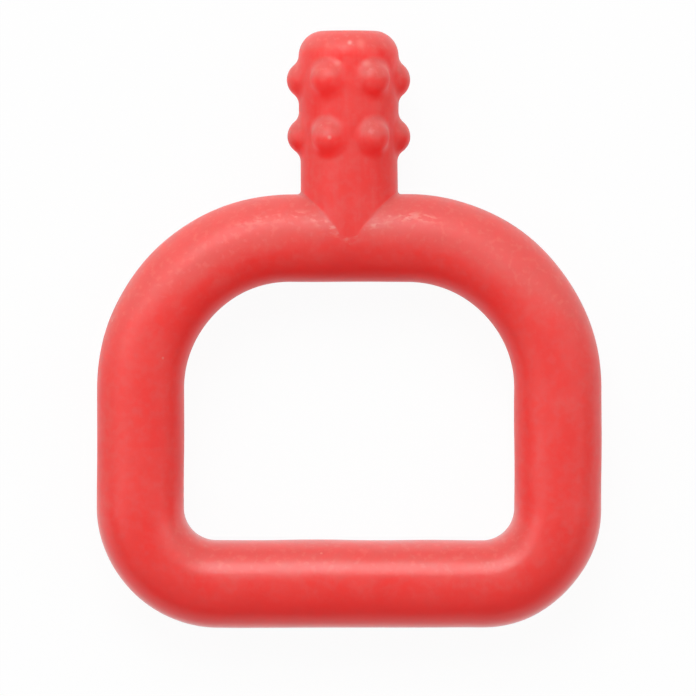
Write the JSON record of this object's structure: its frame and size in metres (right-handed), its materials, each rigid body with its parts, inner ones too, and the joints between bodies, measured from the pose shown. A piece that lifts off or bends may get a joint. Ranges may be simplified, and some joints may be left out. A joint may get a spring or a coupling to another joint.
{
  "type": "chew toy",
  "caption": "Soft red chew toy: a closed, rounded grip loop for the fingers, with a short round stem on top that carries rows of raised nubs for biting.",
  "frame": {"origin": "under the middle of the toy's bounding box, on the surface that it lies on", "axes": "+X across the grip loop, +Y along the chew stem towards its tip, +Z out of the front of the toy, which lies on its back"},
  "size_m": [0.064, 0.0756, 0.0141],
  "materials": {
    "red_elastomer": "satin"
  },
  "bodies": {
    "root": {"grip_loop": "red_elastomer", "chew_stem": "red_elastomer", "upper_nub_front_right": "red_elastomer", "upper_nub_right": "red_elastomer", "upper_nub_back_right": "red_elastomer", "upper_nub_back_left": "red_elastomer", "upper_nub_left": "red_elastomer", "upper_nub_front_left": "red_elastomer", "lower_nub_front_right": "red_elastomer", "lower_nub_right": "red_elastomer", "lower_nub_back_right": "red_elastomer", "lower_nub_back_left": "red_elastomer", "lower_nub_left": "red_elastomer", "lower_nub_front_left": "red_elastomer"}
  },
  "joints": []
}
